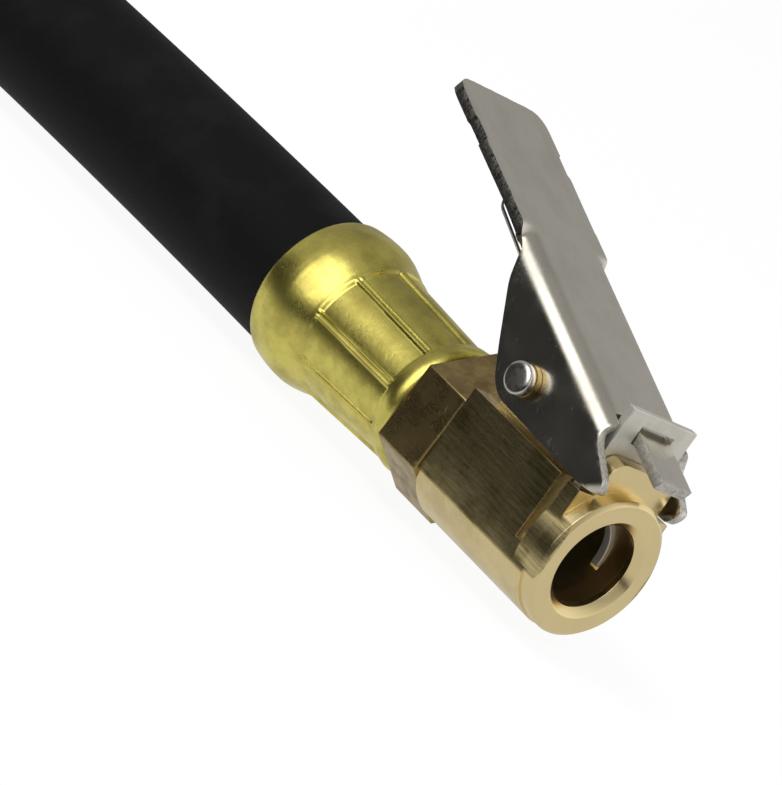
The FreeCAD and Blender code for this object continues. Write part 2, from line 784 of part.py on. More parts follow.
def make_hose():
    """The free hose between its two ferrules."""
    route, radii = rounded_route([FreeCAD.Vector(*point) for point in HOSE_ROUTE])
    start = FreeCAD.Vector(*HOSE_ROUTE[0])
    along = FreeCAD.Vector(1, 0, 0)
    tubes = []
    for size in ("hose_radius", "hose_bore"):
        ring = Part.Wire(Part.makeCircle(value(size), start, along))
        tubes.append(route.makePipeShell([ring], True, False))
    hose = doc.addObject("Part::Feature", "hose")
    hose.Shape = tubes[0].cut(tubes[1])
    hose.Label = "hose"
    section = math.pi * (value("hose_radius") ** 2 - value("hose_bore") ** 2)
    print("hose: radii", [round(radius, 1) for radius in radii], "length", round(route.Length, 1))
    print("hose: volume over section times length", round(hose.Shape.Volume / (section * route.Length), 5))
    return hose


# ---------------------------------------------------------------- the whole assembly

make_chuck_body()
make_valve_seal()
make_valve_opener()
make_clip_lever()
make_jaw_plate()
make_pivot_pin()
make_washer("pivot_washer_left", "-lever_half - spin_gap - washer_thickness / 2")
make_washer("pivot_washer_right", "lever_half + spin_gap + washer_thickness / 2")

NEAR_X = "-body_length - hex_length"
make_chuck_stem(NEAR_X, "0")
make_ferrule("chuck_ferrule", NEAR_X, "0")
make_hose_end("chuck", NEAR_X, "0")

FAR_X = f"{HOSE_ROUTE[-1][0]} + ferrule_length + 1"
FAR_Y = f"{HOSE_ROUTE[-1][1]}"
make_tool_stem(FAR_X, FAR_Y)
make_ferrule("tool_ferrule", FAR_X, FAR_Y)
make_hose_end("tool", FAR_X, FAR_Y)
make_gasket(FAR_X, FAR_Y)
make_hose()
make_lever_spring()

doc.recompute()
broken = [thing.Label for thing in doc.Objects if {"Invalid", "Error"} & set(thing.State)]
if broken:
    raise RuntimeError(f"not built: {broken}")

PIECES = [
    "chuck_body", "valve_seal", "valve_opener", "clip_lever", "jaw_plate", "pivot_pin",
    "pivot_washer_left", "pivot_washer_right", "lever_spring", "chuck_stem", "chuck_ferrule",
    "chuck_hose_liner", "chuck_hose_braid", "chuck_hose_cover", "hose", "tool_ferrule", "tool_stem",
    "tool_hose_liner", "tool_hose_braid", "tool_hose_cover", "tool_sealing_washer",
]
pieces = [doc.getObjectsByLabel(label)[0] for label in PIECES]
for piece in pieces:
    if piece.Shape.isNull() or not piece.Shape.isValid() or piece.Shape.Volume <= 0:
        raise RuntimeError(f"bad shape: {piece.Label}")
os.makedirs("parts", exist_ok=True)
for piece in pieces:
    piece.Shape.exportStep(f"parts/{piece.Label}.step")
    box = piece.Shape.BoundBox
    print(piece.Label, len(piece.Shape.Solids), round(piece.Shape.Volume, 2),
          [round(v, 2) for v in (box.XMin, box.XMax, box.YMin, box.YMax, box.ZMin, box.ZMax)])
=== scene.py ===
"""A clip-on brass tyre chuck, crimped to its rubber hose, dressed piece by piece on the CAD frame."""
import logging
import math
from dataclasses import dataclass, field
from enum import Enum
from typing import Sequence

import bmesh
import bpy
from mathutils import Matrix, Vector, noise
from mathutils.geometry import delaunay_2d_cdt


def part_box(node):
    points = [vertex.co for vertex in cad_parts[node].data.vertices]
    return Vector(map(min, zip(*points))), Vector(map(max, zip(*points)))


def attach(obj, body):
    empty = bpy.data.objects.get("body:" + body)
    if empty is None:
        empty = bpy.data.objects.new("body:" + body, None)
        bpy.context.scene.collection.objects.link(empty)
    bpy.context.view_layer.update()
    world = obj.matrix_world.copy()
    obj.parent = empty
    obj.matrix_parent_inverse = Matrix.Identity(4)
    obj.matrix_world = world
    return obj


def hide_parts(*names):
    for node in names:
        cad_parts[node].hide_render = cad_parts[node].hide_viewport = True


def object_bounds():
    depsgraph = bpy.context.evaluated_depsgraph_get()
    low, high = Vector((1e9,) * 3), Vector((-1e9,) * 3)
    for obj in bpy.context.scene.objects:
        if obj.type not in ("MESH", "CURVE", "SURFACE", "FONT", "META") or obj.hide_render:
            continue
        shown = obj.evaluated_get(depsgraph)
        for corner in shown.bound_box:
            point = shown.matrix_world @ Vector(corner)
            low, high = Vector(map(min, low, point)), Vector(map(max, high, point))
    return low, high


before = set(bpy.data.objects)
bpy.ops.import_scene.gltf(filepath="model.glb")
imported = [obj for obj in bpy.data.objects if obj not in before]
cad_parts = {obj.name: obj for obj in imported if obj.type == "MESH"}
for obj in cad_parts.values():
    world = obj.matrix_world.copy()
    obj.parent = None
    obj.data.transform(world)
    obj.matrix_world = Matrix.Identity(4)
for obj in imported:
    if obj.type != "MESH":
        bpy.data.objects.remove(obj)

CAD_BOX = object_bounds()
MM = 0.001
LOG = logging.getLogger("chuck")

Point = tuple[float, float, float]
Flat = tuple[float, float]
Colour = tuple[float, float, float]


class Body(Enum):
    """The CAD bodies that pieces ride on."""

    ROOT = "chuck_and_hose"
    LEVER = "lever"
    JAW = "jaw"


# ---------------------------------------------------------------- node trees


class Value:
    """A socket in an expression: arithmetic on it adds Math nodes to its tree."""

    def __init__(self, graph: "Graph", socket: bpy.types.NodeSocket) -> None:
        """Wraps one output socket of a graph."""
        self.graph = graph
        self.socket = socket

    def math(self, operation: str, *others: "Value | float") -> "Value":
        """Adds a Math node with this value first.

        Args:
            operation: the Math node's operation.
            others: its second and third values.
        Returns:
            The node's result.
        """
        return self.graph.math(operation, self, *others)

    def __add__(self, other: "Value | float") -> "Value":
        """Sum."""
        return self.math("ADD", other)

    __radd__ = __add__

    def __sub__(self, other: "Value | float") -> "Value":
        """Difference."""
        return self.math("SUBTRACT", other)

    def __rsub__(self, other: float) -> "Value":
        """Difference from a number."""
        return self.graph.math("SUBTRACT", other, self)

    def __mul__(self, other: "Value | float") -> "Value":
        """Product."""
        return self.math("MULTIPLY", other)

    __rmul__ = __mul__

    def __truediv__(self, other: "Value | float") -> "Value":
        """Quotient."""
        return self.math("DIVIDE", other)

    def __abs__(self) -> "Value":
        """Absolute value."""
        return self.math("ABSOLUTE")

    def step(self, low: float, high: float) -> "Value":
        """Rises smoothly from 0 at low to 1 at high, or falls where low is the larger.

        Args:
            low: where the rise starts.
            high: where it ends.
        Returns:
            The risen value, from 0 to 1.
        """
        if low > high:
            return 1 - self.step(high, low)
        limits = {0: self, 1: low, 2: high, 3: 0.0, 4: 1.0}
        node = self.graph.add("ShaderNodeMapRange", {"interpolation_type": "SMOOTHSTEP"}, limits)
        return Value(self.graph, node.outputs[0])

    def clamp(self) -> "Value":
        """Limits the value to between 0 and 1."""
        return self.math("MAXIMUM", 0.0).math("MINIMUM", 1.0)


class Graph:
    """A shader or geometry tree, with one way to add a node to it."""

    def __init__(self, tree: bpy.types.NodeTree) -> None:
        """Wraps a node tree."""
        self.tree = tree

    def add(self, kind: str, settings: dict | None = None, inputs: dict | None = None) -> bpy.types.Node:
        """Adds a node.

        Args:
            kind: the node's type.
            settings: its properties, set first.
            inputs: values or links of its sockets, by name or number.
        Returns:
            The node.
        """
        node = self.tree.nodes.new(kind)
        for name, setting in (settings or {}).items():
            setattr(node, name, setting)
        for key, given in (inputs or {}).items():
            socket = node.inputs[key]
            if isinstance(given, Value):
                self.tree.links.new(given.socket, socket)
            elif isinstance(given, bpy.types.NodeSocket):
                self.tree.links.new(given, socket)
            else:
                socket.default_value = given
        return node

    def math(self, operation: str, *values: Value | float) -> Value:
        """Adds a Math node on values or numbers and gives its result."""
        node = self.add("ShaderNodeMath", {"operation": operation}, dict(enumerate(values)))
        return Value(self, node.outputs[0])

    def split(self, vector: Value) -> tuple[Value, Value, Value]:
        """The three components of a vector."""
        node = self.add("ShaderNodeSeparateXYZ", None, {0: vector})
        return tuple(Value(self, socket) for socket in node.outputs[:3])

    def join(self, x: Value | float, y: Value | float, z: Value | float) -> Value:
        """A vector of three components."""
        return Value(self, self.add("ShaderNodeCombineXYZ", None, {0: x, 1: y, 2: z}).outputs[0])

    def mix(self, factor: Value | float, first: "Value | Colour", second: "Value | Colour") -> Value:
        """A colour between two colours.

        Args:
            factor: 0 for the first colour, 1 for the second.
            first: a colour or a link.
            second: a colour or a link.
        Returns:
            The mixed colour.
        """
        colours = [c if isinstance(c, Value) else (*c, 1.0) for c in (first, second)]
        node = self.add("ShaderNodeMix", {"data_type": "RGBA"}, {0: factor, 6: colours[0], 7: colours[1]})
        return Value(self, node.outputs[2])

    def switch(
        self, factor: "float | bpy.types.NodeSocket", one: bpy.types.Node, two: bpy.types.Node
    ) -> bpy.types.Node:
        """Mixes two shaders and gives the Mix Shader node."""
        return self.add("ShaderNodeMixShader", None, {0: factor, 1: one.outputs[0], 2: two.outputs[0]})

    def close(self, last: bpy.types.Node, finish: Value) -> None:
        """Ends a geometry tree: its instances are made real and given their material.

        Args:
            last: the node that gives the finished geometry.
            finish: its material.
        """
        real = self.add("GeometryNodeRealizeInstances", None, {0: last.outputs[0]})
        dressed = self.add("GeometryNodeSetMaterial", None, {"Geometry": real.outputs[0], "Material": finish})
        self.add("NodeGroupOutput", None, {0: dressed.outputs[0]})

    def noise(self, vector: Value, scale: float, detail: float = 3.0, rough: float = 0.55) -> Value:
        """Smooth noise from 0 to 1, with this many blotches per unit of the vector.

        Args:
            vector: where the noise is read.
            scale: blotches per unit.
            detail: finer layers.
            rough: how strong those are.
        Returns:
            The noise.
        """
        sizes = {"Vector": vector, "Scale": scale, "Detail": detail, "Roughness": rough}
        return Value(self, self.add("ShaderNodeTexNoise", None, sizes).outputs[0])


class Finish:
    """What every finish shares: a Principled material with its coordinates in millimetres."""

    name: str

    def start(self) -> tuple[bpy.types.Material, Graph, bpy.types.Node, Value]:
        """A new material.

        Returns:
            The material, its graph, its Principled shader and the object coordinates in mm.
        """
        material = bpy.data.materials.new(self.name)
        material.use_nodes = True
        graph = Graph(material.node_tree)
        shader = material.node_tree.nodes["Principled BSDF"]
        place = graph.add("ShaderNodeTexCoord")
        scaled = graph.add(
            "ShaderNodeVectorMath", {"operation": "SCALE"}, {0: place.outputs["Object"], "Scale": 1 / MM}
        )
        return material, graph, shader, Value(graph, scaled.outputs[0])

    @staticmethod
    def finish(
        graph: Graph,
        shader: bpy.types.Node,
        colour: Value,
        rough: Value,
        height: Value,
        depth: float,
        metallic: float = 1.0,
    ) -> None:
        """Links colour, roughness and a bump of this depth in metres to the shader.

        Args:
            graph: the material's graph.
            shader: its Principled shader.
            colour: base colour.
            rough: roughness.
            height: height of the bump.
            depth: its depth, in metres.
            metallic: 1 for bare metal, 0 for none.
        """
        bump = graph.add("ShaderNodeBump", None, {"Strength": 1.0, "Distance": depth, "Height": height})
        graph.tree.links.new(bump.outputs[0], shader.inputs["Normal"])
        graph.tree.links.new(colour.socket, shader.inputs["Base Color"])
        graph.tree.links.new(rough.socket, shader.inputs["Roughness"])
        shader.inputs["Metallic"].default_value = metallic


@dataclass(frozen=True)
class MetalFinish(Finish):
    """A metal with a drawn or brushed grain, blotches of tarnish and a few scratches."""

    name: str
    bright: Colour
    dull: Colour
    polish: float
    worn: float
    grain: Point = (0.3, 6.0, 6.0)
    grain_depth: float = 6e-6
    mottle: float = 0.35
    tarnish: float = 0.6
    scratches: float = 0.5
    metal: float = 1.0

    def material(self) -> bpy.types.Material:
        """Builds the material.

        Returns:
            The material.
        """
        material, graph, shader, at = self.start()
        along, across, up = graph.split(at)
        drawn = graph.join(along * self.grain[0], across * self.grain[1], up * self.grain[2])
        grain = graph.noise(drawn, 1.0, 4.0, 0.7)
        cloud = graph.noise(at, self.mottle, 4.0, 0.6)
        fleck = graph.noise(at, self.mottle * 14, 3.0, 0.7)
        worn = ((cloud.step(0.38, 0.68)) * 0.75 + fleck.step(0.55, 0.75) * 0.25).clamp()
        tilted = graph.join(along * 2.2 + up * 0.9, across * 0.15 - along * 0.25, up * 0.2)
        nick = graph.noise(tilted, 2.6, 2.0, 0.5).step(0.66, 0.72) * graph.noise(at, 0.6, 2.0).step(0.5, 0.62)
        colour = graph.mix(worn * self.tarnish, self.bright, self.dull)
        rough = self.polish + worn * (self.worn - self.polish) + (grain - 0.5) * 0.12 + nick * 0.1
        height = grain * 1.0 + cloud * 0.8 - nick * self.scratches
        self.finish(graph, shader, colour, rough.clamp(), height, self.grain_depth, self.metal)
        return material


@dataclass(frozen=True)
class TurnedBrass(Finish):
    """The chuck body's brass: turned ring and barrel, lengthwise milled flats, dark oxide in the bore,
    painted shade on the flats and a painted highlight on the ring.
    """

    name: str
    bright: Colour
    dull: Colour
    oxide: Colour
    flat_half: float = 6.25
    bore: float = 4.6

    def material(self) -> bpy.types.Material:
        """Builds the material.

        Returns:
            The material.
        """
        material, graph, shader, at = self.start()
        along, across, up = graph.split(at)
        radius = (across * across + up * up).math("SQRT")
        flat = abs(across).step(self.flat_half - 0.12, self.flat_half - 0.02)
        ring = along.step(-2.0, -1.6)
        inside = radius.step(self.bore - 0.1, self.bore - 0.35) * along.step(-0.9, -1.6)
        milled = graph.noise(graph.join(along * 0.22, across * 3.0, up * 9.0), 1.0, 4.0, 0.75)
        turned = graph.noise(graph.join(along * 11.0, radius * 9.0, 0.0), 1.0, 3.0, 0.7)
        grain = turned + (milled - turned) * flat
        cloud = graph.noise(at, 0.28, 4.0, 0.62)
        fleck = graph.noise(at, 3.4, 3.0, 0.7)
        tarnish_and_painted_light = (cloud.step(0.36, 0.7) * 0.7 + fleck.step(0.5, 0.75) * 0.3).clamp()
        streak = graph.noise(graph.join(along * 0.3, across * 2.0, up * 5.0), 1.0, 3.0, 0.6).step(0.35, 0.7)
        # painted shade: the milled flats are pushed towards the dull colour; painted highlight: the ring is
        # held clear of tarnish so it reads brighter
        tarnish_and_painted_light = tarnish_and_painted_light * (0.35 + 0.25 * flat) * (1 - 0.8 * ring) + flat * (0.3 + 0.35 * streak)
        colour = graph.mix(tarnish_and_painted_light, self.bright, self.dull)
        colour = graph.mix(inside * 0.85, colour, self.oxide)
        rough = 0.25 + tarnish_and_painted_light * 0.06 + inside * 0.2 - ring * 0.03 + (grain - 0.5) * 0.14
        self.finish(graph, shader, colour, rough.clamp(), grain + fleck * 0.3 * flat, 1e-5)
        return material


@dataclass(frozen=True)
class ShearedSteel(Finish):
    """The torn edge of a sheet that was cut in a press: dark pits under a bright burr, with painted shade
    towards the thumb end and a painted highlight towards the nose.
    """

    name: str
    bright: Colour
    dark: Colour
    pit: Colour

    def material(self) -> bpy.types.Material:
        """Builds the material.

        Returns:
            The material.
        """
        material, graph, shader, at = self.start()
        along, across, up = graph.split(at)
        pits = graph.noise(at, 3.2, 5.0, 0.75)
        tear = graph.noise(graph.join(along * 1.6, across, up * 0.5), 1.3, 3.0, 0.6)
        dark = (pits.step(0.42, 0.6) * 0.6 + tear.step(0.42, 0.6) * 0.4).clamp()
        # painted light: the edge is darker towards the thumb end, a painted shade, and brighter towards the
        # nose, a painted highlight
        front = along.step(-16.0, -8.0)
        colour = graph.mix(dark * (1 - 0.6 * front), graph.mix(front, self.dark, self.bright), self.pit)
        self.finish(graph, shader, colour, 0.28 + dark * 0.3, pits + tear, 5e-5)
        return material


@dataclass(frozen=True)
class RubberFinish(Finish):
    """Moulded or extruded rubber: a fine matte skin with faint lengthwise flow and dust."""

    name: str
    colour: Colour
    dusty: Colour
    rough: float
    skin: float = 2.0e-5
    dust: float = 0.5
    sheen: float = 0.12

    def material(self) -> bpy.types.Material:
        """Builds the material.

        Returns:
            The material.
        """
        material, graph, shader, at = self.start()
        pores = graph.noise(at, 5.5, 3.0, 0.65)
        cloud = graph.noise(at, 0.16, 3.0, 0.6)
        specks = graph.noise(at, 9.0, 2.0, 0.5).step(0.68, 0.76)
        dust = (cloud.step(0.45, 0.75) * 0.4 + specks * 0.35) * self.dust
        colour = graph.mix(dust, self.colour, self.dusty)
        rough = self.rough + dust * 0.15 + (pores - 0.5) * 0.12
        self.finish(graph, shader, colour, rough.clamp(), pores, self.skin, metallic=0.0)
        shader.inputs["Specular IOR Level"].default_value = self.sheen
        return material


@dataclass(frozen=True)
class BraidFinish(Finish):
    """A textile braid: two families of yarn that cross on the tube."""

    name: str
    yarn: Colour
    gap: Colour

    def material(self) -> bpy.types.Material:
        """Builds the material.

        Returns:
            The material.
        """
        material, graph, shader, at = self.start()
        along, across, up = graph.split(at)
        turn = graph.math("ARCTAN2", up, across) * (12 / math.pi)
        one = ((along * 1.4 + turn) * math.pi).math("SINE")
        two = ((along * 1.4 - turn) * math.pi).math("SINE")
        weave = one.math("MAXIMUM", two) * 0.5 + 0.5
        fibre = graph.noise(at, 9.0, 3.0, 0.6)
        colour = graph.mix((weave * 0.7 + fibre * 0.3).clamp(), self.gap, self.yarn)
        self.finish(graph, shader, colour, 0.75 + fibre * 0.15, weave, 1e-4, metallic=0.0)
        return material


class Palette:
    """Every finish of the object, each built once."""

    def __init__(self) -> None:
        """Builds the finishes."""
        # painted shade: the dull colour here is both tarnish and the darkening of the milled flats
        self.body_brass = TurnedBrass(
            "turned_brass", (0.87, 0.71, 0.38), (0.2, 0.165, 0.06), (0.3, 0.17, 0.06)
        ).material()
        self.ferrule_brass = MetalFinish(
            "ferrule_brass", (0.86, 0.76, 0.19), (0.42, 0.35, 0.08), 0.27, 0.36,
            grain=(1.6, 2.2, 2.2), grain_depth=1.6e-5, mottle=0.34, tarnish=0.75, scratches=0.4,
        ).material()
        # painted shade: a darker copy of the body's brass that stands in for the dark reflections on the hex
        # flats; the far stem, its thread, the valve opener and the rivet washers share it
        self.hex_brass = MetalFinish(
            "milled_brass_painted_shade", (0.46, 0.34, 0.15), (0.17, 0.12, 0.05), 0.26, 0.38,
            grain=(0.4, 5.0, 5.0), grain_depth=8e-6, mottle=0.5, tarnish=0.75,
        ).material()
        self.nickel = MetalFinish(
            "nickel_plate", (0.7, 0.67, 0.59), (0.5, 0.47, 0.4), 0.19, 0.3,
            grain=(1.3, 1.7, 1.3), grain_depth=7e-6, mottle=0.22, tarnish=0.5, scratches=0.2,
        ).material()
        self.steel = MetalFinish(
            "bright_steel", (0.78, 0.76, 0.72), (0.5, 0.47, 0.43), 0.2, 0.34,
            grain=(1.5, 0.6, 4.0), grain_depth=4e-6, mottle=0.5, tarnish=0.5, scratches=0.1,
        ).material()
        self.wire = MetalFinish(
            "drawn_wire", (0.72, 0.74, 0.8), (0.45, 0.46, 0.5), 0.16, 0.3,
            grain=(0.4, 6.0, 0.4), grain_depth=3e-6, mottle=0.6, tarnish=0.35,
        ).material()
        self.satin = MetalFinish(
            "satin_steel", (0.66, 0.64, 0.58), (0.48, 0.46, 0.4), 0.4, 0.52,
            grain=(1.5, 0.6, 4.0), grain_depth=6e-6, mottle=0.5, tarnish=0.5, metal=0.7,
        ).material()
        # painted light: the bright colour is a painted highlight at the nose, the dark one a painted shade at
        # the thumb end; the last is the pits
        self.sheared = ShearedSteel(
            "sheared_steel", (0.7, 0.68, 0.63), (0.3, 0.29, 0.27), (0.03, 0.028, 0.024)
        ).material()
        self.hose = RubberFinish("hose_rubber", (0.004, 0.004, 0.0045), (0.02, 0.021, 0.023), 0.62).material()
        self.seal = RubberFinish("seal_rubber", (0.02, 0.02, 0.021), (0.06, 0.06, 0.06), 0.55).material()
        self.braid = BraidFinish("hose_braid", (0.55, 0.52, 0.44), (0.12, 0.1, 0.08)).material()


class Carving(Graph):
    """A tree that moves the points of a turned sleeve towards its axis or away from it."""

    kinds = {"Geometry": "NodeSocketGeometry", "Panels": "NodeSocketInt", "Finish": "NodeSocketMaterial"}

    def __init__(self, name: str, *labels: str) -> None:
        """Starts the tree and reads where each point is.

        Args:
            name: the tree's name.
            labels: the names of its own inputs.
        """
        tree = bpy.data.node_groups.new(name, "GeometryNodeTree")
        for label in ("Geometry", *labels, "Start", "End", "Centre", "Finish"):
            kind = self.kinds.get(label, "NodeSocketFloat")
            tree.interface.new_socket(label, in_out="INPUT", socket_type=kind)
        tree.interface.new_socket("Geometry", in_out="OUTPUT", socket_type="NodeSocketGeometry")
        super().__init__(tree)
        self.given = self.add("NodeGroupInput")
        self.want = {s.name: Value(self, s) for s in self.given.outputs if s.name}
        self.x, y, self.z = self.split(Value(self, self.add("GeometryNodeInputPosition").outputs[0]))
        self.side = y - self.want["Centre"]
        self.radius = (self.side * self.side + self.z * self.z).math("SQRT")

    def move(self, scale: Value) -> bpy.types.NodeTree:
        """Scales each point's distance from the axis and ends the tree.

        Args:
            scale: how much.
        Returns:
            The tree.
        """
        moved = self.join(self.x, self.side * scale + self.want["Centre"], self.z * scale)
        inputs = {"Geometry": self.given.outputs[0], "Position": moved}
        self.close(self.add("GeometryNodeSetPosition", None, inputs), self.want["Finish"])
        return self.tree


# ---------------------------------------------------------------- mesh helpers


class Craft:
    """Ways to make and finish meshes that several sub-assemblies share."""

    weld = 2e-6
    flat_angle = 0.6
    edge_angle = 28

    @staticmethod
    def piece(name: str, mesh: bpy.types.Mesh) -> bpy.types.Object:
        """Puts a mesh in the scene as an object at the origin.

        Args:
            name: the object's name.
            mesh: its mesh.
        Returns:
            The object.
        """
        piece = bpy.data.objects.new(name, mesh)
        bpy.context.scene.collection.objects.link(piece)
        return piece

    @staticmethod
    def baked(piece: bpy.types.Object) -> bpy.types.Object:
        """Turns a piece's modifiers into plain mesh.

        Args:
            piece: an object with modifiers.
        Returns:
            The same object, with a plain mesh.
        """
        graph = bpy.context.evaluated_depsgraph_get()
        mesh = bpy.data.meshes.new_from_object(piece.evaluated_get(graph), depsgraph=graph)
        piece.modifiers.clear()
        piece.data = mesh
        return piece

    @staticmethod
    def shade(mesh: bpy.types.Mesh, degrees: float = 32.0) -> None:
        """Shades a mesh smooth, with its sharper edges kept."""
        mesh.shade_smooth()
        mesh.set_sharp_from_angle(angle=math.radians(degrees))

    @classmethod
    def merged_copy(cls, node: str) -> bpy.types.Mesh:
        """A copy of a CAD node's mesh with its loose triangles joined into whole faces.

        Args:
            node: the CAD node.
        Returns:
            The mesh, with whole flat faces.
        """
        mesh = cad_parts[node].data.copy()
        mesh.materials.clear()
        work = bmesh.new()
        work.from_mesh(mesh)
        bmesh.ops.remove_doubles(work, verts=work.verts, dist=cls.weld)
        bmesh.ops.dissolve_limit(
            work, angle_limit=math.radians(cls.flat_angle), verts=work.verts, edges=work.edges,
            use_dissolve_boundaries=False,
        )
        work.to_mesh(mesh)
        work.free()
        for name in [a.name for a in mesh.attributes if a.name == "custom_normal"]:
            mesh.attributes.remove(mesh.attributes[name])
        return mesh

    @classmethod
    def softened(cls, node: str, name: str, width: float, finish: bpy.types.Material) -> bpy.types.Object:
        """A CAD node's shape with its edges broken.

        Args:
            node: the CAD node.
            name: the new piece's name.
            width: the bevel on its edges, in mm.
            finish: its material.
        Returns:
            The piece, which replaces the node.
        """
        piece = cls.piece(name, cls.merged_copy(node))
        bevel = piece.modifiers.new("broken_edges", "BEVEL")
        bevel.width = width * MM
        bevel.segments = 3
        bevel.limit_method = "ANGLE"
        bevel.angle_limit = math.radians(cls.edge_angle)
        bevel.use_clamp_overlap = True
        weighted = piece.modifiers.new("even_shading", "WEIGHTED_NORMAL")
        weighted.keep_sharp = True
        cls.shade(piece.data, 60)
        cls.baked(piece)
        piece.data.materials.append(finish)
        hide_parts(node)
        return piece

    @staticmethod
    def lathe(profile: Sequence[Flat], sides: int, place: Matrix, closed: bool = False) -> bpy.types.Mesh:
        """Turns a profile about the X axis.

        Args:
            profile: (along, radius) points in mm; radius 0 closes an end.
            sides: how many faces go round.
            place: turns and moves the result, in metres.
            closed: whether the profile joins its own start.
        Returns:
            The mesh, in metres.
        """
        work = bmesh.new()
        rings = []
        for along, radius in profile:
            if radius < 1e-6:
                rings.append([work.verts.new((along * MM, 0, 0))])
                continue
            ring = []
            for k in range(sides):
                turn = 2 * math.pi * k / sides
                across, up = radius * MM * math.cos(turn), radius * MM * math.sin(turn)
                ring.append(work.verts.new((along * MM, across, up)))
            rings.append(ring)
        pairs = list(zip(rings, rings[1:] + rings[:1])) if closed else list(zip(rings, rings[1:]))
        for one, two in pairs:
            for k in range(sides):
                corners = [one[k % len(one)], one[(k + 1) % len(one)]]
                corners += [two[(k + 1) % len(two)], two[k % len(two)]]
                unique = list(dict.fromkeys(corners))
                if len(unique) > 2:
                    work.faces.new(unique)
        bmesh.ops.recalc_face_normals(work, faces=work.faces)
        work.transform(place)
        mesh = bpy.data.meshes.new("lathe")
        work.to_mesh(mesh)
        work.free()
        return mesh

    @classmethod
    def carve(cls, piece: bpy.types.Object, tree: bpy.types.NodeTree, settings: dict) -> None:
        """Carves a turned sleeve with a Geometry Nodes tree, then bakes and shades it.

        Args:
            piece: the sleeve.
            tree: the tree.
            settings: the value of each of its named inputs.
        """
        modifier = piece.modifiers.new(tree.name, "NODES")
        modifier.node_group = tree
        for item in tree.interface.items_tree:
            if item.item_type == "SOCKET" and item.in_out == "INPUT" and item.name in settings:
                modifier[item.identifier] = settings[item.name]
        cls.baked(piece)
        cls.shade(piece.data, 50)

    @staticmethod
    def rounded(corners: Sequence[tuple[float, float, float]], steps: int = 5) -> list[Flat]:
        """A closed outline with its corners rounded.

        Args:
            corners: (x, y, radius) in order round the outline.
            steps: points on each rounded corner.
        Returns:
            The outline's points.
        """
        outline = []
        count = len(corners)
        for i, (x, y, radius) in enumerate(corners):
            here = Vector((x, y))
            before = Vector(corners[i - 1][:2]) - here
            after = Vector(corners[(i + 1) % count][:2]) - here
            reach = min(radius, 0.45 * before.length, 0.45 * after.length)
            if reach < 0.02:
                outline.append((x, y))
                continue
            start, end = here + before.normalized() * reach, here + after.normalized() * reach
            for k in range(steps + 1):
                t = k / steps
                spot = start * (1 - t) ** 2 + here * 2 * t * (1 - t) + end * t**2
                outline.append((spot.x, spot.y))
        return outline


def ease(low: float, high: float, x: float) -> float:
    """Rises smoothly from 0 at low to 1 at high."""
    t = min(max((x - low) / (high - low), 0.0), 1.0)
    return t * t * (3 - 2 * t)


# ---------------------------------------------------------------- sub-assemblies


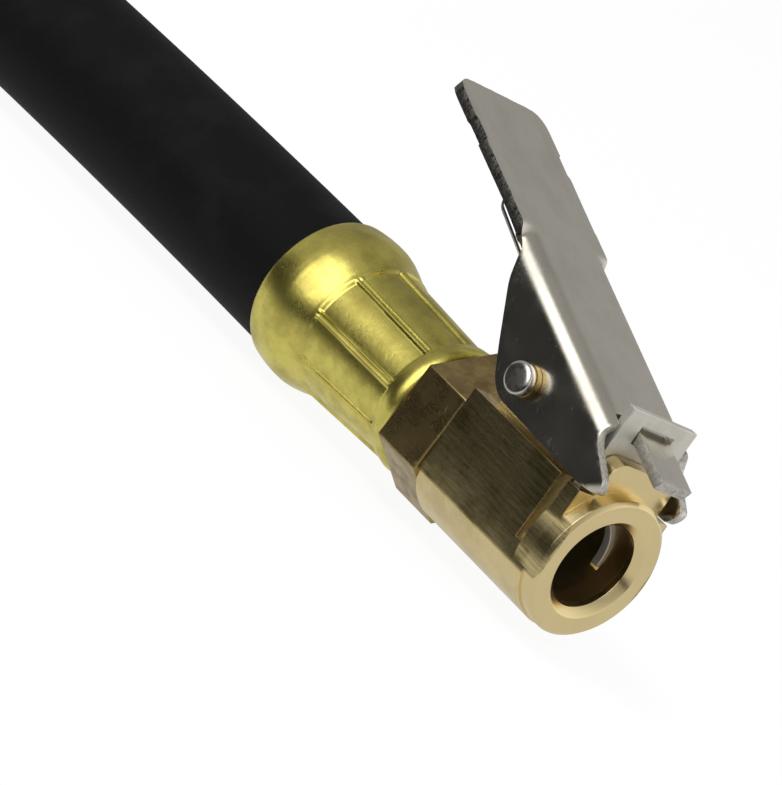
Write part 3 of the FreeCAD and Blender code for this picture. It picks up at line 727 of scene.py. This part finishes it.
@dataclass
class Studio:
    """The camera, the pale floor and the soft lights."""

    camera_at: Point = (0.2315625, -0.3068491, 0.0809055)
    right: Point = (0.5438124, 0.6167997, 0.5690573)
    up: Point = (-0.5483392, -0.2521627, 0.7973319)
    lens: float = 215.4
    aim: Point = (-0.015, 0.0, 0.005)
    floor_size: float = 6.0
    floor_near: float = 0.6
    floor_far: float = 0.03
    shadowless: float = 0.93

    def camera(self) -> None:
        """Makes the camera."""
        data = bpy.data.cameras.new("camera")
        data.lens = self.lens
        data.sensor_width = 36
        data.clip_start = 0.02
        data.clip_end = 50
        camera = bpy.data.objects.new("camera", data)
        bpy.context.scene.collection.objects.link(camera)
        right, up = Vector(self.right), Vector(self.up)
        axes = Matrix((right, up, right.cross(up))).transposed().to_4x4()
        camera.matrix_world = Matrix.Translation(Vector(self.camera_at)) @ axes
        bpy.context.scene.camera = camera

    def floor(self) -> None:
        """Makes the pale floor, which keeps a faint shadow."""
        half = self.floor_size / 2
        level = CAD_BOX[0].z
        mesh = bpy.data.meshes.new("floor")
        corners = [(x * half, y * half, level) for x, y in ((-1, -1), (1, -1), (1, 1), (-1, 1))]
        mesh.from_pydata(corners, [], [(0, 1, 2, 3)])
        floor = Craft.piece("floor", mesh)
        material = bpy.data.materials.new("pale_floor")
        material.use_nodes = True
        graph = Graph(material.node_tree)
        material.node_tree.nodes.clear()
        rays = graph.add("ShaderNodeLightPath")
        matte = graph.add("ShaderNodeBsdfDiffuse", None, {"Color": (0.9, 0.9, 0.9, 1)})
        place = graph.add("ShaderNodeTexCoord")
        _, across, _ = graph.split(Value(graph, place.outputs["Object"]))
        near = across.step(-0.024, -0.012)
        glow = graph.add("ShaderNodeEmission", None, {"Color": (1, 1, 1, 1), "Strength": 1.0})
        bounce = self.floor_far + near * self.floor_near
        card = graph.add("ShaderNodeEmission", None, {"Color": (1, 0.99, 0.96, 1), "Strength": bounce})
        seen = graph.switch(self.shadowless, matte, glow)
        first = graph.switch(rays.outputs["Is Camera Ray"], matte, seen)
        both = graph.switch(rays.outputs["Is Glossy Ray"], first, card)
        graph.add("ShaderNodeOutputMaterial", None, {0: both.outputs[0]})
        mesh.materials.append(material)

    def lights(self) -> None:
        """Makes the world and the lamps."""
        world = bpy.data.worlds.new("studio")
        bpy.context.scene.world = world
        world.use_nodes = True
        graph = Graph(world.node_tree)
        world.node_tree.nodes.clear()
        rays = graph.add("ShaderNodeLightPath")
        way = Value(graph, graph.add("ShaderNodeTexCoord").outputs["Generated"])

        def lobe(direction: Point, inner: float, outer: float) -> Value:
            """A soft round patch of the studio, 1 at its middle, with its radii in degrees.

            Args:
                direction: towards its middle.
                inner: radius of its full part.
                outer: radius where it ends.
            Returns:
                Its strength, 0 to 1.
            """
            towards = Vector(direction).normalized()
            dot = graph.add("ShaderNodeVectorMath", {"operation": "DOT_PRODUCT"}, {0: way, 1: towards})
            start, full = math.cos(math.radians(outer)), math.cos(math.radians(inner))
            return Value(graph, dot.outputs["Value"]).step(start, full)

        level = 0.36 + 0.62 * lobe((0.7, 0.7, 0.0), 30, 80)
        level = level * (1 - 0.97 * lobe((-0.64, -0.75, -0.1), 18, 34))
        level = level * (1 - 0.35 * lobe((-0.64, 0.28, 0.72), 10, 30))
        level = level + 1.7 * lobe((0.0, -0.85, 0.45), 27, 38)
        warm = (1, 0.985, 0.96, 1)
        background = graph.add("ShaderNodeBackground", None, {"Color": warm, "Strength": level})
        plain = graph.add("ShaderNodeBackground", None, {"Color": (1, 1, 1, 1), "Strength": 0.75})
        white = graph.add("ShaderNodeBackground", None, {"Color": (1, 1, 1, 1), "Strength": 1.0})
        soft = graph.switch(rays.outputs["Is Glossy Ray"], plain, background)
        both = graph.switch(rays.outputs["Is Camera Ray"], soft, white)
        graph.add("ShaderNodeOutputWorld", None, {0: both.outputs[0]})
        for name, where, size, power in (
            ("key", (-0.16, -0.24, 0.52), 0.16, 1.6),
            ("fill", (0.5, 0.3, 0.25), 0.3, 0.7),
        ):
            lamp = bpy.data.lights.new(name, "AREA")
            lamp.size = size
            lamp.energy = power
            holder = bpy.data.objects.new(name, lamp)
            bpy.context.scene.collection.objects.link(holder)
            turned = (Vector(where) - Vector(self.aim)).to_track_quat("Z", "Y").to_matrix().to_4x4()
            holder.visible_glossy = False
            holder.matrix_world = Matrix.Translation(Vector(where)) @ turned

    def build(self) -> None:
        """Makes the whole studio."""
        self.camera()
        self.floor()
        self.lights()


@dataclass
class Hose:
    """The rubber hose, a tube swept along a curve from the chuck's ferrule to the far fitting."""

    radius: float = 7.1
    length: float = 0.353
    route: tuple[Point, ...] = (
        (-44.8, 0.0, 0.0), (-74.0, 0.0, 0.0), (-124.0, -4.0, -0.8), (-174.0, -33.0, -0.8),
        (-194.0, -87.5, -0.8), (-174.0, -142.0, -0.8), (-124.0, -171.0, 0.0), (-74.0, -171.0, 0.0),
    )

    def build(self, palette: Palette, on_it: Sequence[bpy.types.Object | str]) -> bpy.types.Object:
        """Makes the hose.

        Args:
            palette: the finishes.
            on_it: the pieces and CAD nodes on its far end; not used.
        Returns:
            The hose's curve.
        """
        curve = bpy.data.curves.new("air_hose", "CURVE")
        curve.dimensions = "3D"
        spline = curve.splines.new("NURBS")
        spline.points.add(len(self.route) - 1)
        for point, (x, y, z) in zip(spline.points, self.route):
            point.co = (x * MM, y * MM, z * MM, 1)
        spline.order_u = 3
        spline.use_endpoint_u = True
        spline.resolution_u = 24
        curve.resolution_u = 24
        curve.bevel_depth = self.radius * MM
        curve.bevel_resolution = 20
        curve.use_fill_caps = True
        hose = bpy.data.objects.new("air_hose", curve)
        bpy.context.scene.collection.objects.link(hose)
        curve.materials.append(palette.hose)
        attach(hose, Body.ROOT.value)
        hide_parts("hose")
        tuple(v * MM for v in self.route[0])
        2 * self.radius * MM
        return hose


@dataclass
class CrimpedFerrule:
    """A drawn brass sleeve, pressed onto the hose by a ring of dies that leave thin seams between them."""

    name: str
    node: str
    panels: int = 9
    turn: float = 23.0
    press_depth: float = 0.24
    seam_width: float = 0.95
    press_start: float = 2.1
    press_end: float = 13.35
    sides: int = 468
    outside: tuple[Flat, ...] = (
        (0.0, 4.2), (0.0, 5.75), (0.06, 6.1), (0.25, 6.42), (0.6, 6.62), (1.1, 6.68), (1.7, 6.58), (2.3, 6.5),
        (13.0, 6.98), (13.8, 7.08), (14.6, 7.3), (15.4, 7.58), (16.2, 7.8), (16.9, 7.92), (17.7, 7.94),
        (18.6, 7.9), (19.5, 7.8), (20.0, 7.72), (20.22, 7.62), (20.28, 7.45),
    )

    inner_skin: tuple[Flat, ...] = (
        (20.2, 7.25), (19.6, 7.18), (16.4, 7.15), (13.2, 6.3), (12.4, 6.12), (1.2, 6.12), (1.2, 4.2),
    )

    def profile(self) -> list[Flat]:
        """The section's outline, with close rings where the dies start and end.

        Returns:
            (along, radius) points in mm.
        """
        points = [self.outside[0]]
        for (a, ra), (b, rb) in zip(self.outside, self.outside[1:]):
            pace = 0.14 if 1.5 < a < 3 or 12 < a < 14 else 0.3
            pieces = max(1, math.ceil(abs(b - a) / pace)) if b - a < 5 else 0
            stops = [k / pieces for k in range(1, pieces + 1)] if pieces else self.long_run(a, b)
            points += [(a + (b - a) * t, ra + (rb - ra) * t) for t in stops]
        return points + list(self.inner_skin)

    @staticmethod
    def long_run(start: float, end: float) -> list[float]:
        """Where rings lie on the crimped run: close at its ends and wide between them.

        Args:
            start: its front, in mm.
            end: its rear, in mm.
        Returns:
            Shares of the run, 0 to 1.
        """
        marks = [0.12, 0.24, 0.36, 0.5, 0.7, 1.0, 1.5]
        length = end - start
        middle = [2.0 + k * (length - 4.0) / 10 for k in range(11)]
        return [m / length for m in marks + middle + [length - m for m in reversed(marks)]] + [1.0]

    def dies(self) -> bpy.types.NodeTree:
        """The tree that presses the panels into the sleeve.

        Returns:
            The tree.
        """
        graph = Carving("crimp_dies", "Front", "Panels", "Turn", "Press Depth", "Seam Width")
        want, radius = graph.want, graph.radius
        depth = want["Front"] - graph.x
        angle = graph.math("ARCTAN2", graph.z, graph.side)
        panel = (angle + want["Turn"]) * want["Panels"] / (2 * math.pi)
        offset = abs(panel - panel.math("ROUND")) * (2 * math.pi) / want["Panels"] * radius
        half = want["Seam Width"] / 2
        beyond = (offset - half * 0.62) / (half * 0.38)
        pressed = beyond.step(0.0, 1.0)
        groove = 1 - (offset / (half * 0.34)).step(0.0, 1.0)
        sag = ((offset - half) / (radius * 0.33)).clamp()
        start = ((depth - want["Start"]) / 0.00024).step(0.0, 1.0)
        stop = ((want["End"] - depth) / 0.0003).step(0.0, 1.0)
        outer = (radius / 0.0062).step(0.999, 1.01)
        shift = (pressed * (1 - 0.25 * sag) + groove * 0.4) * start * stop * outer * want["Press Depth"]
        return graph.move((radius - shift) / radius.math("MAXIMUM", 1e-6))

    def build(self, palette: Palette) -> bpy.types.Object:
        """Makes the ferrule where its CAD node is.

        Args:
            palette: the finishes.
        Returns:
            The ferrule.
        """
        low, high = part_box(self.node)
        front, centre = high[0], (low[1] + high[1]) / 2
        place = Matrix.Translation((front, centre, 0)) @ Matrix.Diagonal((-1, 1, 1, 1))
        mesh = Craft.lathe(self.profile(), self.sides, place, closed=True)
        work = bmesh.new()
        work.from_mesh(mesh)
        bmesh.ops.recalc_face_normals(work, faces=work.faces)
        work.to_mesh(mesh)
        work.free()
        piece = Craft.piece(self.name, mesh)
        Craft.carve(piece, self.dies(), {
            "Front": front, "Panels": self.panels, "Turn": math.radians(self.turn),
            "Press Depth": self.press_depth * MM, "Seam Width": self.seam_width * MM,
            "Start": self.press_start * MM, "End": self.press_end * MM, "Centre": centre,
            "Finish": palette.ferrule_brass,
        })
        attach(piece, Body.ROOT.value)
        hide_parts(self.node)
        return piece


@dataclass
class FarFitting:
    """The threaded stem at the hose's far end."""

    node: str = "tool_stem"
    thread_radius: float = 6.58
    core_radius: float = 5.75
    thread_start: float = 9.2
    pitch: float = 1.337
    crest_gap: float = 0.02
    sleeve_wall: float = 0.35
    sleeve_bore: float = 5.0
    rings: int = 150
    sides: int = 96

    def ridges(self) -> bpy.types.NodeTree:
        """The tree that winds the thread's ridges onto a plain sleeve.

        Returns:
            The tree.
        """
        graph = Carving("thread_ridges", "Pitch", "Core", "Crest")
        want, radius, x = graph.want, graph.radius, graph.x
        turn = graph.math("ARCTAN2", graph.z, graph.side) / (2 * math.pi)
        winding = x / want["Pitch"] + turn
        wave = abs(winding - winding.math("ROUND")) * 2
        ridge = wave.step(0.12, 0.88)
        fade = ((x - want["Start"]) / want["Pitch"]).clamp() * ((want["End"] - x) / want["Pitch"]).clamp()
        outer = (radius / want["Core"]).step(0.9, 0.95)
        reach = want["Core"] + (want["Crest"] - want["Core"]) * ridge * fade
        return graph.move(1 + (reach / radius.math("MAXIMUM", 1e-6) - 1) * outer)

    def build(self, palette: Palette) -> list[bpy.types.Object]:
        """Makes the stem's hex and its thread.

        Args:
            palette: the finishes.
        Returns:
            The stem and its thread.
        """
        low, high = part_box(self.node)
        centre = (low[1] + high[1]) / 2
        start, end = high[0] - self.thread_start * MM, high[0]
        core = Craft.softened(self.node, "far_stem", 0.14, palette.hex_brass)
        for vertex in core.data.vertices:
            side, up = vertex.co.y - centre, vertex.co.z
            radius = math.hypot(side, up)
            if vertex.co.x > start and radius > self.sleeve_bore * MM:
                shrink = (self.core_radius - self.sleeve_wall) * MM / radius
                vertex.co.y = centre + side * shrink
                vertex.co.z = up * shrink
        length = (end - start) / MM
        outside = [(length * k / self.rings, self.core_radius) for k in range(self.rings + 1)]
        profile = [(0.0, self.sleeve_bore), *outside, (length, self.sleeve_bore)]
        mesh = Craft.lathe(profile, self.sides, Matrix.Translation((start, centre, 0)), closed=True)
        thread = Craft.piece("far_thread", mesh)
        Craft.carve(thread, self.ridges(), {
            "Pitch": self.pitch * MM, "Core": self.core_radius * MM,
            "Crest": (self.thread_radius - self.crest_gap) * MM,
            "Centre": centre, "Start": start, "End": end, "Finish": palette.hex_brass,
        })
        for piece in (core, thread):
            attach(piece, Body.ROOT.value)
        return [core, thread]


@dataclass
class Chuck:
    """The brass body and the stem screwed into it."""

    hex_turn: float = 27.0
    body_edge: float = 0.13
    hex_edge: float = 0.36

    def build(self, palette: Palette) -> list[bpy.types.Object]:
        """Makes the body and the stem.

        Args:
            palette: the finishes.
        Returns:
            The body and the stem.
        """
        body = Craft.softened("chuck_body", "chuck_shell", self.body_edge, palette.body_brass)
        stem = Craft.softened("chuck_stem", "hex_stem", self.hex_edge, palette.hex_brass)
        stem.data.transform(Matrix.Rotation(math.radians(self.hex_turn), 4, "X"))
        for piece in (body, stem):
            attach(piece, Body.ROOT.value)
        return [body, stem]


@dataclass
class JawPlate:
    """The steel plate that bites on the valve."""

    edge: float = 0.09

    def build(self, palette: Palette) -> bpy.types.Object:
        """Makes the jaw plate.

        Args:
            palette: the finishes.
        Returns:
            The jaw plate.
        """
        piece = Craft.softened("jaw_plate", "bite_plate", self.edge, palette.satin)
        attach(piece, Body.JAW.value)
        return piece


@dataclass
class Rivet:
    """The rivet that the lever turns on, with its flat head and hammered tail."""

    head_radius: float = 1.5
    shaft_radius: float = 1.1
    sides: int = 64

    def build(self, palette: Palette) -> bpy.types.Object:
        """Makes the rivet on its CAD node's axis.

        Args:
            palette: the finishes.
        Returns:
            The rivet.
        """
        low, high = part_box("pivot_pin")
        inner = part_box("pivot_washer_left")[0][1] / MM
        left, right = low[1] / MM, high[1] / MM
        outer_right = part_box("pivot_washer_right")[1][1] / MM
        head = self.head_radius
        profile = [
            (left, 0.0), (left + 0.01, 0.6), (left + 0.04, 1.05), (left + 0.09, head - 0.2),
            (left + 0.18, head - 0.07),
            (left + 0.32, head), (inner - 0.12, head), (inner - 0.03, head - 0.05), (inner, head - 0.14),
            (inner, self.shaft_radius), (outer_right, self.shaft_radius), (outer_right, head - 0.1),
            (outer_right + 0.12, head + 0.08), (outer_right + 0.3, head), (right - 0.08, head - 0.35),
            (right - 0.02, 0.6), (right, 0.0),
        ]
        centre = Vector(((low[0] + high[0]) / 2, 0, (low[2] + high[2]) / 2))
        turn = Matrix.Rotation(math.radians(90), 4, "Z")
        mesh = Craft.lathe(profile, self.sides, Matrix.Translation(centre) @ turn)
        work = bmesh.new()
        work.from_mesh(mesh)
        bmesh.ops.recalc_face_normals(work, faces=work.faces)
        work.to_mesh(mesh)
        work.free()
        Craft.shade(mesh, 50)
        mesh.materials.append(palette.steel)
        piece = Craft.piece("lever_rivet", mesh)
        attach(piece, Body.ROOT.value)
        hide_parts("pivot_pin")
        return piece


@dataclass
class LeverSheet:
    """The clip lever: one blank of nickel-plated sheet, folded down along both sides."""

    half_width: float = 6.15
    plate_rise: float = 5.75
    bend: float = 2.0
    sheet: float = 1.0
    pivot_back: float = 13.1
    pivot_height: float = 8.9
    tilt: float = 19.3
    fold_start: float = -13.4
    fold_end: float = -11.0
    toe: Flat = (12.8, 9.74)
    curl_reach: float = 1.2
    curl_tightness: float = 0.55
    waviness: float = 0.03
    rim_edge: float = 0.08
    pace: float = 0.42
    edge: tuple[tuple[float, float, float], ...] = field(default=(
        (13.54, 2.15, 0.25), (7.08, 2.15, 0.3), (7.08, 4.86, 0.3), (8.26, 4.9, 0.2), (8.3, 6.3, 0.5),
        (8.9, 7.35, 0.8), (12.6, 8.4, 0.6), (12.8, 9.74, 0.7), (11.2, 10.5, 0.7), (-0.6, 14.14, 0.9),
        (-2.2, 13.84, 0.9), (-4.8, 12.14, 0.8),
        (-9.5, 8.74, 0.8), (-11.25, 6.45, 0.5), (-12.2, 6.13, 0.3), (-16.1, 6.15, 0.1), (-16.4, 6.05, 0.1),
        (-22.6, 6.12, 0.1), (-22.9, 5.86, 0.1), (-25.0, 5.9, 0.1), (-25.3, 6.15, 0.1), (-30.15, 6.15, 2.7),
    ))

    def outline(self) -> list[Flat]:
        """The blank's outline, right side then left.

        Returns:
            (x, s) points in mm.
        """
        right = list(self.edge)
        left = [(x, -y, r) for x, y, r in reversed(self.edge)]
        corners = Craft.rounded(right + left)
        outline: list[Flat] = []
        for one, two in zip(corners, corners[1:] + corners[:1]):
            run = Vector(two) - Vector(one)
            pieces = max(1, math.ceil(run.length / 0.3))
            for k in range(pieces):
                spot = Vector(one) + run * (k / pieces)
                rough = 0.035 if spot.x < -12.5 or spot.x > 9 and abs(spot.y) < 3 else 0.0
                jag = noise.noise(Vector((spot.x * 2.3, spot.y * 2.3, 7.0))) * rough
                outline.append((spot.x + jag, spot.y + jag))
        return outline

    @staticmethod
    def inside(outline: Sequence[Flat], x: float, y: float, margin: float) -> bool:
        """Whether a point lies in an outline, and at least the margin away from it.

        Args:
            outline: the outline.
            x: the point's first coordinate.
            y: its second.
            margin: how far in it has to lie.
        Returns:
            True if it does.
        """
        within = False
        for (ax, ay), (bx, by) in zip(outline, [*outline[1:], outline[0]]):
            if (ay > y) != (by > y) and x < (bx - ax) * (y - ay) / (by - ay) + ax:
                within = not within
            dx, dy = bx - ax, by - ay
            t = min(max(((x - ax) * dx + (y - ay) * dy) / (dx * dx + dy * dy + 1e-12), 0), 1)
            if math.hypot(x - ax - t * dx, y - ay - t * dy) < margin:
                return False
        return within

    def folded(self, x: float, s: float, depth: float) -> Vector:
        """Where a point of the blank goes when it is folded.

        Args:
            x: along the lever from its pivot, in mm.
            s: across the blank on its outer skin, in mm.
            depth: below the outer skin, in mm.
        Returns:
            The point in metres, with the lever on the chuck.
        """
        side = -1 if s < 0 else 1
        out = abs(s)
        flat = self.half_width - self.bend
        most = math.pi / 2 * ease(self.fold_start, self.fold_end, x)
        y, z = out, self.plate_rise - depth
        if out > flat:
            turn = min((out - flat) / self.bend, most)
            spare = out - flat - self.bend * turn
            y = flat + (self.bend - depth) * math.sin(turn) + spare * math.cos(turn)
            z = self.plate_rise - self.bend + (self.bend - depth) * math.cos(turn) - spare * math.sin(turn)
        foot = (x - self.toe[0]) * 0.8 + (out - self.toe[1]) * 0.5
        curl = max(foot + self.curl_reach, 0.0) ** 2 * self.curl_tightness
        y -= curl
        if out <= flat + 0.5:
            z += self.waviness * noise.noise(Vector((x * 0.18, out * side * 0.2, 3.0))) - self.waviness
        turn = math.radians(self.tilt)
        world_x = -self.pivot_back + x * math.cos(turn) + z * math.sin(turn)
        world_z = self.pivot_height - x * math.sin(turn) + z * math.cos(turn)
        return Vector((world_x, side * y, world_z)) * MM

    def blank(self) -> tuple[list[Vector], list[Sequence[int]]]:
        """The blank, cut into small triangles.

        Returns:
            The flat points and the triangles.
        """
        outline = self.outline()
        points = [Vector(p) for p in outline]
        columns = int(44 / self.pace)
        across = [k * self.pace for k in range(-34, 35)]
        for column in range(columns + 1):
            x = -30.3 + column * self.pace
            for s in across:
                if self.inside(outline, x, s, 0.16):
                    points.append(Vector((x, s + (0.13 if column % 2 else 0.0))))
        loop = list(range(len(outline)))
        made = delaunay_2d_cdt(points, [], [loop], 1, 1e-5)
        return made[0], made[2]

    def build(self, palette: Palette) -> bpy.types.Object:
        """Makes the lever.

        Args:
            palette: the finishes.
        Returns:
            The lever.
        """
        points, faces = self.blank()
        count = len(points)
        corners = [self.folded(p.x, p.y, depth) for depth in (0.0, self.sheet) for p in points]
        sides: dict[tuple[int, int], tuple[int, int]] = {}
        for face in faces:
            for a, b in zip(face, [*face[1:], face[0]]):
                sides[(a, b)] = (a, b)
        rims = [edge for edge in sides if (edge[1], edge[0]) not in sides]
        skin = [list(face) for face in faces] + [[i + count for i in reversed(face)] for face in faces]
        walls = [[b, a, a + count, b + count] for a, b in rims]
        mesh = bpy.data.meshes.new("lever_sheet")
        mesh.from_pydata(corners, [], skin + walls)
        mesh.materials.append(palette.nickel)
        mesh.materials.append(palette.sheared)
        for polygon in mesh.polygons[len(skin):]:
            polygon.material_index = 1
        work = bmesh.new()
        work.from_mesh(mesh)
        bmesh.ops.recalc_face_normals(work, faces=work.faces)
        rim = [e for e in work.edges if len(e.link_faces) == 2 and e.calc_face_angle(0) > math.radians(50)]
        bmesh.ops.bevel(
            work, geom=rim, offset=self.rim_edge * MM, segments=2, profile=0.6, affect="EDGES",
            clamp_overlap=True, material=0,
        )
        work.to_mesh(mesh)
        work.free()
        Craft.shade(mesh, 38)
        piece = Craft.piece("thumb_lever", mesh)
        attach(piece, Body.LEVER.value)
        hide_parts("clip_lever")
        return piece


@dataclass
class SpringCoil:
    """The torsion spring round the rivet, whose long arm stays under the handle as the lever turns."""

    def build(self, palette: Palette) -> bpy.types.Object:
        """Makes the spring, which turns with the lever.

        Args:
            palette: the finishes.
        Returns:
            The spring.
        """
        piece = Craft.piece("coil_spring", Craft.merged_copy("lever_spring"))
        Craft.shade(piece.data, 40)
        piece.data.materials.append(palette.wire)
        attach(piece, Body.LEVER.value)
        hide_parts("lever_spring")
        return piece


def dress(node: str, finish: bpy.types.Material) -> None:
    """Gives a CAD node a finish of its own.

    Args:
        node: the CAD node.
        finish: its material.
    """
    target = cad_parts[node]
    if not target.material_slots:
        target.data.materials.append(finish)
    for place in target.material_slots:
        place.link = "OBJECT"
        place.material = finish


def main() -> None:
    """Builds the studio and then each sub-assembly in order."""
    logging.basicConfig(level=logging.INFO, format="%(message)s")
    Studio().build()
    LOG.info("studio")
    palette = Palette()
    near = CrimpedFerrule("near_ferrule", "chuck_ferrule").build(palette)
    far = CrimpedFerrule("far_ferrule", "tool_ferrule").build(palette)
    LOG.info("ferrules: %d faces each", len(near.data.polygons))
    far_stem = FarFitting().build(palette)
    LOG.info("far fitting")
    far_nodes = ["tool_sealing_washer", "tool_hose_liner", "tool_hose_braid", "tool_hose_cover"]
    Hose().build(palette, [far, *far_stem, *(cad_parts[node] for node in far_nodes)])
    LOG.info("hose")
    for piece in Chuck().build(palette):
        LOG.info("%s: %d faces", piece.name, len(piece.data.polygons))
    for part in (JawPlate(), Rivet(), LeverSheet(), SpringCoil()):
        piece = part.build(palette)
        LOG.info("%s: %d faces", piece.name, len(piece.data.polygons))
    finishes = {
        palette.seal: ["valve_seal", "tool_sealing_washer", "chuck_hose_liner", "tool_hose_liner"],
        palette.hex_brass: ["valve_opener", "pivot_washer_left", "pivot_washer_right"],
        palette.braid: ["chuck_hose_braid", "tool_hose_braid"],
        palette.hose: ["chuck_hose_cover", "tool_hose_cover"],
    }
    for finish, nodes in finishes.items():
        for node in nodes:
            dress(node, finish)
            LOG.info("%s dressed", node)
    bpy.context.scene.view_settings.view_transform = "Standard"


if __name__ == "__main__":
    main()
